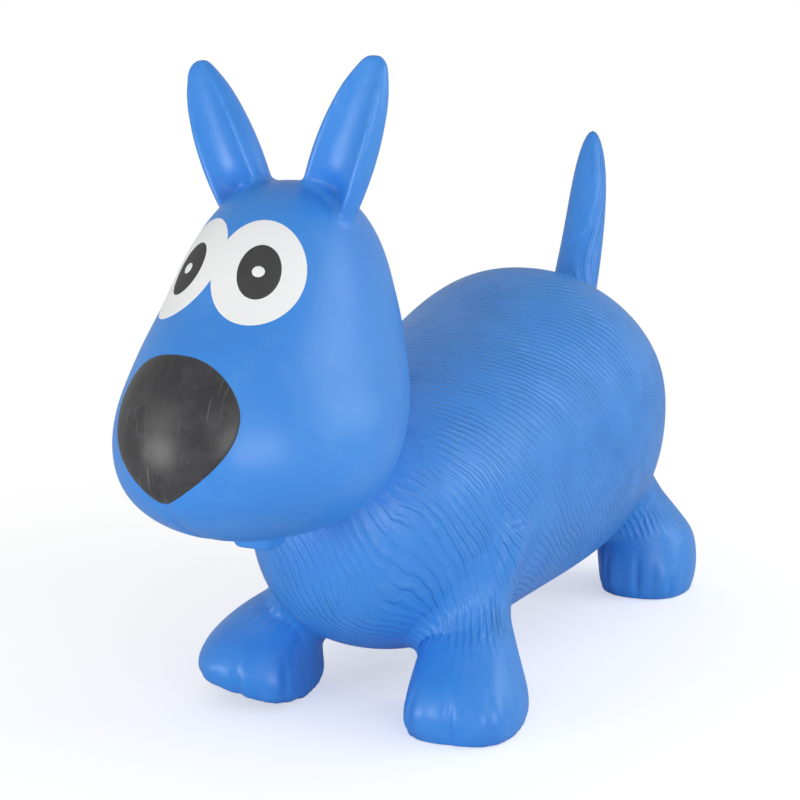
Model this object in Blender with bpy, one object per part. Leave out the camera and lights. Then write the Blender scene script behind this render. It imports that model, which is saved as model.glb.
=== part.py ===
"""Inflatable hopper dog: a hollow moulded skin that a child sits on and bounces.

The skin is blown up through a valve in the belly, so every region of it is a thin wall
round one chamber of air. Metres, +Z up, nose towards -Y, the dog's own left towards +X,
origin on the floor under the middle of the dog.
"""

import math

import bmesh
import bpy
from mathutils import Vector

for old in list(bpy.data.objects):
    bpy.data.objects.remove(old, do_unlink=True)

# Driving dimensions of the whole dog
BODY_LENGTH = 0.485
BODY_HEIGHT = 0.252
BODY_WIDTH = 0.220
BELLY_CLEARANCE = 0.032
HEAD_OVERHANG = 0.148
HEAD_LENGTH = 0.220
HEAD_WIDTH = 0.162
HEAD_HEIGHT = 0.214
CHIN_HEIGHT = 0.149
FRONT_TRACK = 0.160
REAR_TRACK = 0.144
WHEELBASE = 0.368
REAR_PAW_INSET = 0.038

# The skin, and the room left between pieces that touch
WALL = 0.003
GAP = 0.0003
OVERRUN = 0.004

# Legs and paws: how far a paw reaches before and behind its ankle, and a leg leans inwards
PAW_WIDTH = 0.081
PAW_REACH = 0.051
PAW_HEEL = 0.038
PAW_HEIGHT = 0.048
PAW_SPLAY_DEG = 10.0
PAW_BOUNCE = 0.012
LEG_HEIGHT = 0.128
LEG_INWARD_OFFSET = 0.034
LEG_ENDWARD_OFFSET = 0.024
TOE_GROOVE_DEPTH = 0.0035
TOE_GROOVES = 3
TOE_PITCH_STEPS = 3

# Ears
EAR_LENGTH = 0.098
EAR_BURIED = 0.022
EAR_WIDTH = 0.040
EAR_DEPTH = 0.028
EAR_SPACING = 0.058
EAR_SETBACK = 0.136
EAR_LEAN_DEG = 22.0
EAR_ROOT_HEIGHT = 0.016
EAR_PERCH_SHARE = 0.92

# Tail
TAIL_LENGTH = 0.138
TAIL_BURIED = 0.024
TAIL_WIDTH = 0.037
TAIL_INSET = 0.038
TAIL_LEAN_DEG = 30.0
TAIL_CURL_DEG = -26.0
TAIL_ROOT_HEIGHT = 0.014

# Sprayed paint, and the raised nose
FILM = 0.0008
NOSE_RELIEF = 0.0018
NOSE_WIDTH = 0.078
NOSE_HEIGHT = 0.083
NOSE_TO_EYE_GAP = 0.0075
NOSE_TILT_DEG = 8.0
EYE_WIDTH = 0.051
EYE_HEIGHT = 0.066
EYE_SPACING = 0.0466
EYE_DROP = 0.049
EYE_TURN_DEG = 14.0
EYE_TILT_DEG = 22.0
PUPIL_WIDTH = 0.0245
PUPIL_HEIGHT = 0.036
GLINT_DIAMETER = 0.0075
MASK_DEPTH = 0.050

# Lip pads, the two halves of the small chin under the muzzle
LIP_WIDTH = 0.020
LIP_LENGTH = 0.026
LIP_DEPTH = 0.014
LIP_SPACING = 0.0206
LIP_SETBACK = 0.090
LIP_DROP = 0.003

# Air valve in the belly, and its plug
VALVE_SETBACK = 0.250
BOSS_DIAMETER = 0.022
BOSS_LENGTH = 0.018
STEM_DIAMETER = 0.009
STEM_LENGTH = 0.021
STEM_RIBS = 3
STEM_RIB_HEIGHT = 0.0005
PLUG_HEAD_DIAMETER = 0.018
PLUG_HEAD_THICKNESS = 0.0025

# How blunt the ends of the blown forms are: 2 is an ellipse
BODY_POWER = 2.6
BODY_SECTION_POWER = 2.15
LIP_POWER = 4.0
HEAD_POWER = 2.4

# Mesh counts
BODY_STEPS, BODY_RINGS = 30, 16
HEAD_STEPS, HEAD_RINGS = 28, 16
LEG_STEPS, LEG_RINGS = 28, 10
EAR_RINGS = 12
TAIL_STEPS, TAIL_RINGS = 16, 10
LIP_STEPS, LIP_RINGS = 16, 8
ROUND_STEPS = 20

# Torso, by the share of its length from the chest:
# middle height above the belly, rise and fall about it, half width
TORSO_SHARES = [
    (0.00, 0.42, 0.88, 0.92, 0.80),
    (0.20, 0.43, 0.90, 0.95, 0.90),
    (0.45, 0.45, 0.93, 0.93, 0.92),
    (0.70, 0.49, 1.02, 1.00, 1.04),
    (1.00, 0.53, 1.03, 1.00, 1.03),
]

# Head, by the share of its height from the chin:
# setback of its widest line behind the nose, reach forwards and backwards, half width
HEAD_SHARES = [
    (0.00, 0.525, 0.620, 0.430, 1.110),
    (0.14, 0.500, 0.580, 0.500, 1.140),
    (0.25, 0.489, 0.540, 0.515, 1.090),
    (0.39, 0.500, 0.509, 0.515, 0.975),
    (0.54, 0.524, 0.478, 0.522, 0.812),
    (0.68, 0.552, 0.393, 0.472, 0.755),
    (0.83, 0.578, 0.352, 0.470, 0.725),
    (1.00, 0.605, 0.325, 0.430, 0.730),
]

# Front leg and paw, by the share of the leg's height from the sole:
# lean, reach forwards, reach backwards, half width, depth of the toe grooves
FRONT_LEG_SHARES = [
    (0.00, 0.00, 0.93, 0.92, 0.92, 1.00),
    (0.05, 0.00, 1.00, 0.99, 0.98, 1.00),
    (0.16, 0.00, 1.00, 1.00, 1.00, 0.85),
    (0.28, 0.06, 0.88, 0.98, 0.95, 0.35),
    (0.39, 0.22, 0.71, 1.01, 0.87, 0.00),
    (0.52, 0.45, 0.60, 1.10, 0.82, 0.00),
    (0.66, 0.70, 0.56, 1.14, 0.80, 0.00),
    (0.82, 0.90, 0.54, 1.08, 0.76, 0.00),
    (1.00, 1.00, 0.52, 1.00, 0.70, 0.00),
]

# Rear leg and paw, which stand straighter under the haunch
REAR_LEG_SHARES = [
    (0.00, 0.00, 0.93, 0.92, 0.92, 1.00),
    (0.05, 0.00, 1.00, 0.99, 0.98, 1.00),
    (0.16, 0.00, 1.00, 1.00, 1.00, 0.85),
    (0.28, 0.03, 0.90, 1.00, 0.96, 0.35),
    (0.39, 0.12, 0.78, 1.02, 0.92, 0.00),
    (0.52, 0.30, 0.72, 1.04, 0.88, 0.00),
    (0.66, 0.55, 0.70, 0.98, 0.84, 0.00),
    (0.82, 0.80, 0.68, 0.84, 0.78, 0.00),
    (1.00, 1.00, 0.64, 0.66, 0.68, 0.00),
]

# Ear, by the share of its whole length from its buried foot: half depth and half width
EAR_SHARES = [
    (0.00, 0.86, 0.84),
    (0.19, 0.88, 0.92),
    (0.30, 0.96, 0.98),
    (0.46, 1.00, 1.00),
    (0.63, 0.94, 0.93),
    (0.80, 0.76, 0.75),
    (0.92, 0.50, 0.50),
    (0.97, 0.33, 0.35),
    (1.00, 0.14, 0.14),
]

# Half of the ear's section from its back to its front: out from the middle, and forwards.
# Two ridges flank a dished front panel.
EAR_SECTION_SHARES = [
    (0.00, -1.00), (0.36, -0.95), (0.68, -0.75), (0.90, -0.42), (1.00, 0.00), (0.98, 0.40),
    (0.86, 0.84), (0.74, 0.90), (0.52, 0.68), (0.27, 0.54), (0.00, 0.50),
]

# Tail, by the share of its whole length from its buried foot: thickness
TAIL_SHARES = [(0.00, 1.15), (0.17, 1.04), (0.35, 0.98), (0.60, 0.88), (0.80, 0.76), (1.00, 0.60)]

# Half of the nose's outline from its top to its pointed foot, by shares of half its width
# and half its height: a rounded triangle with its point down
NOSE_SHARES = [
    (0.00, 1.00), (0.30, 0.97), (0.58, 0.85), (0.82, 0.62), (0.97, 0.34), (1.00, 0.08),
    (0.94, -0.18), (0.78, -0.44), (0.54, -0.68), (0.27, -0.88), (0.08, -0.985),
]

# Where the two ends of the dog are, with the origin under the middle
REAR_Y = (HEAD_OVERHANG + BODY_LENGTH) / 2
NOSE_Y = -REAR_Y
CHEST_Y = REAR_Y - BODY_LENGTH

X = Vector((1, 0, 0))
Y = Vector((0, 1, 0))
Z = Vector((0, 0, 1))


def between(rows, share):
    """The row at a share along a table, on a smooth curve through its hand-chosen rows."""
    last = len(rows) - 1
    i = max(k for k in range(last) if k == 0 or rows[k][0] <= share)
    a, b = rows[i], rows[i + 1]
    before = rows[i - 1] if i > 0 else a
    after = rows[i + 2] if i + 2 <= last else b
    span = b[0] - a[0]
    t = (share - a[0]) / span
    result = []
    for p, q, r, s in zip(before[1:], a[1:], b[1:], after[1:]):
        slope_in = (r - p) / (b[0] - before[0]) * span
        slope_out = (s - q) / (after[0] - a[0]) * span
        result.append(
            q * (2 * t**3 - 3 * t**2 + 1)
            + slope_in * (t**3 - 2 * t**2 + t)
            + r * (3 * t**2 - 2 * t**3)
            + slope_out * (t**3 - t**2)
        )
    return result


def round_section(steps, square=2):
    """A unit circle, from +u towards +v, or a squarer ring where square is over 2."""
    section = []
    for k in range(steps):
        turn = math.tau * k / steps
        x, y = math.cos(turn), math.sin(turn)
        reach = (abs(x) ** square + abs(y) ** square) ** (-1 / square)
        section.append((x * reach, y * reach))
    return section


def mirrored_section(half):
    """A closed outline from half of one, whose first and last points may lie on the middle."""
    other = [(-x, y) for x, y in reversed(half) if x > 0]
    return half + other


def ring(centre, u, v, side, fore, aft, section):
    """An egg-shaped ring: side is its half width along u, fore and aft its reach along v."""
    return [centre + u * (side * x) + v * ((fore if y > 0 else aft) * y) for x, y in section]


def loft(rings):
    """A closed solid through rings of points, with its two end rings filled."""
    bm = bmesh.new()
    loops = []
    for points in rings:
        verts = [bm.verts.new(p) for p in points]
        loops.append([bm.edges.new(pair) for pair in zip(verts, verts[1:] + verts[:1])])
    for lower, upper in zip(loops, loops[1:]):
        bmesh.ops.bridge_loops(bm, edges=lower + upper)
    for end in (loops[0], loops[-1]):
        bmesh.ops.contextual_create(bm, geom=end)
    bmesh.ops.recalc_face_normals(bm, faces=bm.faces)
    return bm


def rounding(share, blunt):
    """How far a blown form is drawn in at a share along it: 0 at its ends, 1 in the middle."""
    return (1 - abs(2 * share - 1) ** blunt) ** (1 / blunt)


def even_turns(rings):
    """Shares along a blown form, close together near its two poles."""
    return [(1 - math.cos(math.pi * (k + 0.5) / rings)) / 2 for k in range(rings)]


def material(name, colour, roughness):
    """A plain glossy or matt plastic in an sRGB hex colour."""
    mat = bpy.data.materials.new(name)
    mat.use_nodes = True
    shader = mat.node_tree.nodes["Principled BSDF"]
    channels = [int(colour[i : i + 2], 16) / 255 for i in (1, 3, 5)]
    linear = [c / 12.92 if c <= 0.04045 else ((c + 0.055) / 1.055) ** 2.4 for c in channels]
    shader.inputs["Base Color"].default_value = (*linear, 1)
    shader.inputs["Roughness"].default_value = roughness
    shader.inputs["Metallic"].default_value = 0
    mat.diffuse_color = (*linear, 1)
    return mat


def place(name, bm, finish, origin=Vector(), parent=None):
    """An object made of a mesh in world places, with its own origin where it turns or slides."""
    bmesh.ops.translate(bm, verts=bm.verts, vec=-origin)
    mesh = bpy.data.meshes.new(name)
    bm.to_mesh(mesh)
    bm.free()
    mesh.shade_smooth()
    mesh.set_sharp_from_angle(angle=math.radians(40))
    piece = bpy.data.objects.new(name, mesh)
    bpy.context.collection.objects.link(piece)
    piece.location = origin - (parent.location if parent else Vector())
    piece.parent = parent
    if finish:
        mesh.materials.append(finish)
    return piece


def guide(name, bm):
    """A cutter: a form that only shapes other pieces."""
    piece = place(name, bm, None)
    piece.hide_render = True
    piece.display_type = "WIRE"
    return piece


def shape(piece, operation, *others):
    """Cut a piece by others, keep what it shares with them, or join them to it."""
    for other in others:
        step = piece.modifiers.new(f"{operation.lower()} {other.name}", "BOOLEAN")
        step.operation = operation
        step.object = other
        step.solver = "EXACT"
    return piece


def pivot(name, origin):
    """An empty where a moving piece turns or slides."""
    empty = bpy.data.objects.new(name, None)
    bpy.context.collection.objects.link(empty)
    empty.location = origin
    return empty


def keep_above(bm, height):
    """Cut a form flat at a height and keep its upper part."""
    cut_flat(bm, Z * height, -Z)


def keep_below(bm, height):
    """Cut a form flat at a height and keep its lower part."""
    cut_flat(bm, Z * height, Z)


def cut_flat(bm, point, away):
    """Cut a form by a plane, drop the part on its far side and close the cut."""
    geometry = bm.verts[:] + bm.edges[:] + bm.faces[:]
    cut = bmesh.ops.bisect_plane(
        bm, geom=geometry, plane_co=point, plane_no=away, clear_outer=True
    )
    rim = [e for e in cut["geom_cut"] if isinstance(e, bmesh.types.BMEdge)]
    bmesh.ops.contextual_create(bm, geom=rim)
    bmesh.ops.recalc_face_normals(bm, faces=bm.faces)


# Torso


def torso_ring(share, grow):
    """Centre, half width, rise and fall of the torso at a share of its length."""
    middle, rise, fall, side = between(TORSO_SHARES, share)
    drawn = rounding(share, BODY_POWER)
    centre = Y * (CHEST_Y - grow + share * (BODY_LENGTH + 2 * grow))
    centre += Z * (BELLY_CLEARANCE + middle * BODY_HEIGHT)
    return (
        centre,
        drawn * (side * BODY_WIDTH / 2 + grow),
        drawn * (rise * BODY_HEIGHT / 2 + grow),
        drawn * (fall * BODY_HEIGHT / 2 + grow),
    )


def torso_form(grow):
    """The torso's outer form, grown outwards, or inwards where grow is negative."""
    rings = []
    for share in even_turns(BODY_RINGS):
        centre, side, rise, fall = torso_ring(share, grow)
        section = round_section(BODY_STEPS, BODY_SECTION_POWER)
        rings.append(ring(centre, X, Z, side, rise, fall, section))
    return loft(rings)


def torso_height(y, top):
    """Height of the torso's ridge, or of its belly, at a place along it."""
    centre, side, rise, fall = torso_ring((y - CHEST_Y) / BODY_LENGTH, 0)
    return centre.z + rise if top else centre.z - fall


# Head


def head_ring(share, grow):
    """Centre, half width, and reach forwards and backwards of the head at a share of its height."""
    setback, fore, aft, side = between(HEAD_SHARES, share)
    drawn = rounding(share, HEAD_POWER)
    centre = Y * (NOSE_Y + setback * HEAD_LENGTH)
    centre += Z * (CHIN_HEIGHT - grow + share * (HEAD_HEIGHT + 2 * grow))
    return (
        centre,
        drawn * (side * HEAD_WIDTH / 2 + grow),
        drawn * (fore * HEAD_LENGTH + grow),
        drawn * (aft * HEAD_LENGTH + grow),
    )


def head_form(grow):
    """The head's outer form, grown outwards, or inwards where grow is negative."""
    rings = []
    for share in even_turns(HEAD_RINGS):
        centre, side, fore, aft = head_ring(share, grow)
        rings.append(ring(centre, X, -Y, side, fore, aft, round_section(HEAD_STEPS)))
    return loft(rings)


def face_point(x, height):
    """The point on the front of the head at a place across it and a height."""
    centre, side, fore, aft = head_ring((height - CHIN_HEIGHT) / HEAD_HEIGHT, 0)
    return Vector((x, centre.y - fore * math.sqrt(1 - (x / side) ** 2), height))


# Legs


def toe_section(depth_share):
    """A round section whose front is notched between the toes."""
    section = round_section(LEG_STEPS)
    front = LEG_STEPS // 4
    for k in range(TOE_GROOVES):
        groove = front + (k - TOE_GROOVES // 2) * TOE_PITCH_STEPS
        x, y = section[groove]
        dip = 1 - depth_share * TOE_GROOVE_DEPTH / PAW_REACH
        section[groove] = (x * dip, y * dip)
    return section


def leg_form(grow, left, end):
    """A whole leg from its flat sole to its top inside the torso. left is 1 or -1, and so is
    end: 1 at the rear."""
    ankle = ankle_point(left, end)
    splay = math.radians(PAW_SPLAY_DEG)
    outward = Vector((left * math.cos(splay), math.sin(splay), 0))
    forward = Vector((left * math.sin(splay), -math.cos(splay), 0))
    rings = []
    for k in range(LEG_RINGS):
        share = (k / (LEG_RINGS - 1)) ** 1.25
        table = REAR_LEG_SHARES if end > 0 else FRONT_LEG_SHARES
        lean, fore, aft, side, groove = between(table, share)
        centre = ankle - X * (left * lean * LEG_INWARD_OFFSET) - Y * (end * lean * LEG_ENDWARD_OFFSET)
        centre += Z * (share * (LEG_HEIGHT + 2 * grow) - grow)
        rings.append(
            ring(
                centre,
                outward,
                forward,
                side * PAW_WIDTH / 2 + grow,
                fore * PAW_REACH + grow,
                aft * PAW_HEEL + grow,
                toe_section(groove),
            )
        )
    return loft(rings)


def ankle_point(left, end):
    """The point on the floor under an ankle."""
    rear = REAR_Y - REAR_PAW_INSET
    if end > 0:
        return Vector((left * REAR_TRACK / 2, rear, 0))
    return Vector((left * FRONT_TRACK / 2, rear - WHEELBASE, 0))


# Ears


def ear_axis(left):
    """Where an ear's foot stands on the head, and the way it points."""
    lean = math.radians(EAR_LEAN_DEG)
    way = Vector((left * math.sin(lean), 0, math.cos(lean)))
    x = left * EAR_SPACING / 2
    share = EAR_PERCH_SHARE
    foot = Vector((x, NOSE_Y + EAR_SETBACK, CHIN_HEIGHT + share * HEAD_HEIGHT))
    return foot, way


def ear_form(grow, left):
    """A leaning ear with a dished front panel between two ridges."""
    foot, way = ear_axis(left)
    across = Vector((left * way.z, 0, -left * way.x))
    whole = EAR_LENGTH + EAR_BURIED
    rings = []
    for k in range(EAR_RINGS):
        share = 1 - (1 - k / (EAR_RINGS - 1)) ** 1.4
        depth, side = between(EAR_SHARES, share)
        centre = foot + way * (share * (whole + 2 * grow) - grow - EAR_BURIED)
        half_depth = max(depth * EAR_DEPTH / 2 + grow, GAP)
        half_width = max(side * EAR_WIDTH / 2 + grow, GAP)
        section = mirrored_section(EAR_SECTION_SHARES)
        rings.append(ring(centre, across, -Y, half_width, half_depth, half_depth, section))
    return loft(rings)


# Tail


def tail_form(grow):
    """A tapering horn that leans back and curls upright."""
    foot, way = tail_axis()
    whole = TAIL_LENGTH + TAIL_BURIED
    rings = []
    spot = foot - way * (TAIL_BURIED + grow)
    lean = math.radians(TAIL_LEAN_DEG)
    step = (whole + 2 * grow) / TAIL_RINGS
    for k in range(TAIL_RINGS + 1):
        share = k / TAIL_RINGS
        (thick,) = between(TAIL_SHARES, share)
        drawn = math.sqrt(1 - max(0, 2 * min(share, 0.995) - 1) ** 4)
        radius = max(drawn * (thick * TAIL_WIDTH / 2 + grow), GAP)
        heading = lean + math.radians(TAIL_CURL_DEG) * share
        way = Vector((0, math.sin(heading), math.cos(heading)))
        behind = Vector((0, math.cos(heading), -math.sin(heading)))
        rings.append(ring(spot, X, behind, radius, radius, radius, round_section(TAIL_STEPS)))
        spot = spot + way * step
    return loft(rings)


def tail_axis():
    """Where the tail's foot stands on the back, and the way it points there."""
    lean = math.radians(TAIL_LEAN_DEG)
    y = REAR_Y - TAIL_INSET
    return Vector((0, y, torso_height(y, True))), Vector((0, math.sin(lean), math.cos(lean)))


# Lips, eyes and nose


def lip_form(left):
    """A soft pad under one side of the muzzle."""
    middle = Vector((left * LIP_SPACING / 2, NOSE_Y + LIP_SETBACK, CHIN_HEIGHT - LIP_DROP))
    rings = []
    for share in even_turns(LIP_RINGS):
        drawn = rounding(share, LIP_POWER)
        centre = middle + Z * (share * LIP_DEPTH)
        reach = drawn * LIP_LENGTH / 2
        section = round_section(LIP_STEPS, LIP_POWER)
        rings.append(ring(centre, X, -Y, drawn * LIP_WIDTH / 2, reach, reach, section))
    return loft(rings)


def mask(point, turn_deg, tilt_deg, outline, width, height):
    """A prism through a spray mask held against the face: it bounds one patch of paint."""
    turn = math.radians(turn_deg)
    tilt = math.radians(tilt_deg)
    outwards = Vector(
        (
            math.sin(turn) * math.cos(tilt),
            -math.cos(turn) * math.cos(tilt),
            math.sin(tilt),
        )
    )
    across = outwards.cross(Z).normalized() * -1
    up = across.cross(-outwards)
    ends = [point - outwards * MASK_DEPTH, point + outwards * MASK_DEPTH / 2]
    halves = (width / 2, height / 2, height / 2)
    return loft([ring(end, across, up, *halves, outline) for end in ends])


def patch(name, prism, lift, thickness, finish):
    """A film of paint on the head: the part of a grown head's shell that a mask leaves open."""
    piece = place(name, prism, finish)
    outer = guide(f"{name} outer face", head_form(lift + thickness))
    inner = guide(f"{name} inner face", head_form(lift))
    shape(piece, "INTERSECT", outer)
    return shape(piece, "DIFFERENCE", inner)


# Valve and plug


def cylinder(foot, diameter, length):
    """A plain cylinder standing on a point."""
    return turned(foot, [(diameter / 2, 0), (diameter / 2, length)])


def turned(foot, profile):
    """A closed turned solid from a profile of radius and height, from its foot up to its top."""
    rings = []
    for radius, height in profile:
        rings.append(ring(foot + Z * height, X, Y, radius, radius, radius, round_section(ROUND_STEPS)))
    return loft(rings)


def plug_profile():
    """The plug from the edge of its flat head to the tip of its ribbed stem."""
    head_radius = PLUG_HEAD_DIAMETER / 2
    stem = STEM_DIAMETER / 2
    rim = PLUG_HEAD_THICKNESS / 3
    profile = [
        (head_radius - rim, -PLUG_HEAD_THICKNESS),
        (head_radius, rim - PLUG_HEAD_THICKNESS),
        (head_radius, -rim),
        (head_radius - rim, 0),
        (stem, 0),
    ]
    pitch = STEM_LENGTH / (STEM_RIBS + 1)
    for k in range(STEM_RIBS):
        level = pitch * (k + 0.6)
        for offset, swell in ((-pitch / 4, 0), (0, STEM_RIB_HEIGHT), (pitch / 4, 0)):
            profile.append((stem + swell, level + offset))
    profile.append((stem, STEM_LENGTH - stem / 2))
    profile.append((stem / 2, STEM_LENGTH))
    return profile


# Finishes

skin = material("soft blue PVC", "#4387DB", 0.42)
nose_black = material("black nose paint", "#3B3B3E", 0.36)
eye_white = material("white eye paint", "#F6F7F7", 0.45)
pupil_black = material("black pupil paint", "#3A3A3B", 0.45)
plug_white = material("white PVC plug", "#E6E7E8", 0.40)

SIDES = {"left": 1, "right": -1}
ENDS = {"front": -1, "rear": 1}

# Guides that several pieces share

torso_lining = guide("torso lining", torso_form(-WALL))
torso_seat = guide("torso seat", torso_form(GAP))
head_lining = guide("head lining", head_form(-WALL))
head_seat = guide("head seat", head_form(GAP))

# Torso and head

torso = place("torso", torso_form(0), skin)
shape(torso, "DIFFERENCE", torso_lining)

head = place("head", head_form(0), skin)
shape(head, "DIFFERENCE", head_lining, torso_seat)

# Valve: a thick boss moulded inside the belly, bored for the plug

belly = Vector((0, CHEST_Y + VALVE_SETBACK, 0))
belly.z = torso_height(belly.y, False)
boss = guide("valve boss", cylinder(belly + Z * WALL / 2, BOSS_DIAMETER, BOSS_LENGTH))
bore_diameter = STEM_DIAMETER + 2 * STEM_RIB_HEIGHT + 2 * GAP
bore_length = BOSS_LENGTH + 2 * OVERRUN + WALL
bore = guide("valve bore", cylinder(belly - Z * OVERRUN, bore_diameter, bore_length))
shape(torso, "UNION", boss)
shape(torso, "DIFFERENCE", bore, head_lining)

plug_seat = belly - Z * GAP
plug_pivot = pivot("valve_plug_slide", plug_seat)
place("valve_plug", turned(plug_seat, plug_profile()), plug_white, plug_seat, plug_pivot)

# Legs and paws: each paw slides up as the soft leg above it is squashed

for end_name, end in ENDS.items():
    for side_name, left in SIDES.items():
        corner = f"{end_name}_{side_name}"
        ankle = ankle_point(left, end) + Z * PAW_HEIGHT
        lining = guide(f"{corner} leg lining", leg_form(-WALL, left, end))

        paw_form = leg_form(0, left, end)
        keep_below(paw_form, PAW_HEIGHT)
        bounce_pivot = pivot(f"{corner}_bounce", ankle)
        paw = place(f"{corner}_paw", paw_form, skin, ankle, bounce_pivot)
        shape(paw, "DIFFERENCE", lining)

        upper = leg_form(0, left, end)
        keep_above(upper, PAW_HEIGHT + GAP)
        leg = place(f"{corner}_leg", upper, skin)
        shape(leg, "DIFFERENCE", lining, torso_lining)

        hole = guide(f"{corner} leg hole", leg_form(GAP, left, end))
        risen = leg_form(GAP, left, end)
        keep_below(risen, PAW_HEIGHT)
        bmesh.ops.translate(risen, verts=risen.verts, vec=Z * PAW_BOUNCE)
        shape(torso, "DIFFERENCE", hole, guide(f"{corner} paw room", risen))

# Ears, each hinged where its soft root leaves the head

for side_name, left in SIDES.items():
    name = f"ear_{side_name}"
    foot, way = ear_axis(left)
    lining = guide(f"{name} lining", ear_form(-WALL, left))
    hinge = pivot(f"{name}_bend", foot)

    blade = ear_form(0, left)
    cut_flat(blade, foot + way * EAR_ROOT_HEIGHT, -way)
    ear = place(name, blade, skin, foot, hinge)
    shape(ear, "DIFFERENCE", lining)

    stub = ear_form(0, left)
    cut_flat(stub, foot + way * (EAR_ROOT_HEIGHT - GAP), way)
    root = place(f"{name}_root", stub, skin)
    shape(root, "DIFFERENCE", lining, head_seat)
    shape(head, "DIFFERENCE", lining)

# Tail, hinged where its soft root leaves the back

foot, way = tail_axis()
lining = guide("tail lining", tail_form(-WALL))
hinge = pivot("tail_wag", foot)

horn = tail_form(0)
cut_flat(horn, foot + way * TAIL_ROOT_HEIGHT, -way)
tail = place("tail", horn, skin, foot, hinge)
shape(tail, "DIFFERENCE", lining)

stub = tail_form(0)
cut_flat(stub, foot + way * (TAIL_ROOT_HEIGHT - GAP), way)
root = place("tail_root", stub, skin)
shape(root, "DIFFERENCE", lining, torso_seat)
shape(torso, "DIFFERENCE", lining)

# Face

eye_level = CHIN_HEIGHT + HEAD_HEIGHT - EYE_DROP
nose_level = eye_level - EYE_HEIGHT / 2 - NOSE_TO_EYE_GAP - NOSE_HEIGHT / 2
nose_point = face_point(0, nose_level)
outline = mirrored_section(NOSE_SHARES)
nose_mask = mask(nose_point, 0, NOSE_TILT_DEG, outline, NOSE_WIDTH, NOSE_HEIGHT)
patch("nose", nose_mask, GAP, NOSE_RELIEF, nose_black)

EYE_LAYERS = (
    ("eye_white", EYE_WIDTH, EYE_HEIGHT, eye_white),
    ("pupil", PUPIL_WIDTH, PUPIL_HEIGHT, pupil_black),
    ("pupil_glint", GLINT_DIAMETER, GLINT_DIAMETER, eye_white),
)
for side_name, left in SIDES.items():
    eye_point = face_point(left * EYE_SPACING / 2, eye_level)
    for layer, (layer_name, width, height, finish) in enumerate(EYE_LAYERS):
        outline = round_section(ROUND_STEPS)
        prism = mask(eye_point, left * EYE_TURN_DEG, EYE_TILT_DEG, outline, width, height)
        cut_flat(prism, X * (left * GAP / 2), -X * left)
        lift = GAP + layer * (FILM + GAP)
        patch(f"{layer_name}_{side_name}", prism, lift, FILM, finish)

    lip = place(f"lip_{side_name}", lip_form(left), skin)
    shape(lip, "DIFFERENCE", head_seat)
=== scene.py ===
# %% [markdown]
# # An inflatable hopper dog
#
# The real toy is one hollow skin of soft blue PVC, cast in a heated, turning mould and blown up
# through a valve in the belly. Its nose and eyes are sprayed on afterwards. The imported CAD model
# gives every size and joint, so this lesson only makes the fine surface that the eye sees.
# The plan is to shape a ball into each region, let a voxel remesh melt the regions into one
# skin, soften the joins as air pressure does, carve the moulded fur and toes, and only then
# cut the skin where the toy bends.

# %% Load the frame
import math

import bmesh
import bpy
import numpy as np
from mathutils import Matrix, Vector
from mathutils.bvhtree import BVHTree


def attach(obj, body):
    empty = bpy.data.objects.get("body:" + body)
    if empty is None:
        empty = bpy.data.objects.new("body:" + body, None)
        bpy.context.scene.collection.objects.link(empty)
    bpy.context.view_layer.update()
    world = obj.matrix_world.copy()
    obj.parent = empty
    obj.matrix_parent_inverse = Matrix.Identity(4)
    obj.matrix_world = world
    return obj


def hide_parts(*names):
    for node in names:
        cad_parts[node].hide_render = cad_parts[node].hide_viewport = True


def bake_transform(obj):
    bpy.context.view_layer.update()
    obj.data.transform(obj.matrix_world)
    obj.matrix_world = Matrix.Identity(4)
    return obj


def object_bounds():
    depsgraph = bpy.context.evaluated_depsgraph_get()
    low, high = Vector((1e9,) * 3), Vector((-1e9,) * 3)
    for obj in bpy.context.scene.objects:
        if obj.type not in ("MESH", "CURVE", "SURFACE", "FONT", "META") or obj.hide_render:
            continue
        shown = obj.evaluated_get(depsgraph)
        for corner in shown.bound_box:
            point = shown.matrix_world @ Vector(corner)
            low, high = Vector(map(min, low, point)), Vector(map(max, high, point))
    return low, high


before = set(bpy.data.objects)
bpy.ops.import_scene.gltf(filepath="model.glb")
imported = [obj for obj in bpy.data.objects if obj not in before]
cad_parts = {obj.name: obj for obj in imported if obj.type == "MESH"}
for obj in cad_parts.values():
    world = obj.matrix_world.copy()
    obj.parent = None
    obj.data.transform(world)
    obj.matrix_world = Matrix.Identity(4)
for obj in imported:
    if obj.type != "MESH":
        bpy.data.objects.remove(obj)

CAD_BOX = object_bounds()
MM = 0.001
X, Y, Z = Vector((1, 0, 0)), Vector((0, 1, 0)), Vector((0, 0, 1))
SIDES = {"left": 1, "right": -1}
print("CAD box", [tuple(round(c, 4) for c in corner) for corner in CAD_BOX])

# %% [markdown]
# ## The camera
#
# A photo of a toy like this is taken from a little above and from the dog's left front, with a
# long lens. Matching the paws, ears and tail in the picture gives the place, the two angles and
# the focal length below.

# %% Camera
CAMERA_PLACE = Vector((0.554, -1.070, 0.411))
CAMERA_YAW = math.radians(28.22)
CAMERA_PITCH = math.radians(-10.01)
CAMERA_LENS = 76.5

camera = bpy.data.objects.new("camera", bpy.data.cameras.new("camera"))
bpy.context.collection.objects.link(camera)
camera.location = CAMERA_PLACE
camera.rotation_euler = (math.pi / 2 + CAMERA_PITCH, 0, CAMERA_YAW)
camera.data.lens = CAMERA_LENS
camera.data.sensor_width = 36
camera.data.clip_start = 0.05
bpy.context.scene.camera = camera
print("camera", CAMERA_LENS, "mm")

# %% [markdown]
# ## Light and floor
#
# Product photos of toys stand on white paper under big soft boxes. The paper bounces light into
# the belly, so the underside stays bright. The largest lamp stands low on the right, a smaller
# one low in front on the left, and a third behind on the right lights the rump. The camera sees
# the world as plain white, and everything else gets a softer grey from it. The paper keeps the
# soft shadow near the toy and burns out to plain white further away.

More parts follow.
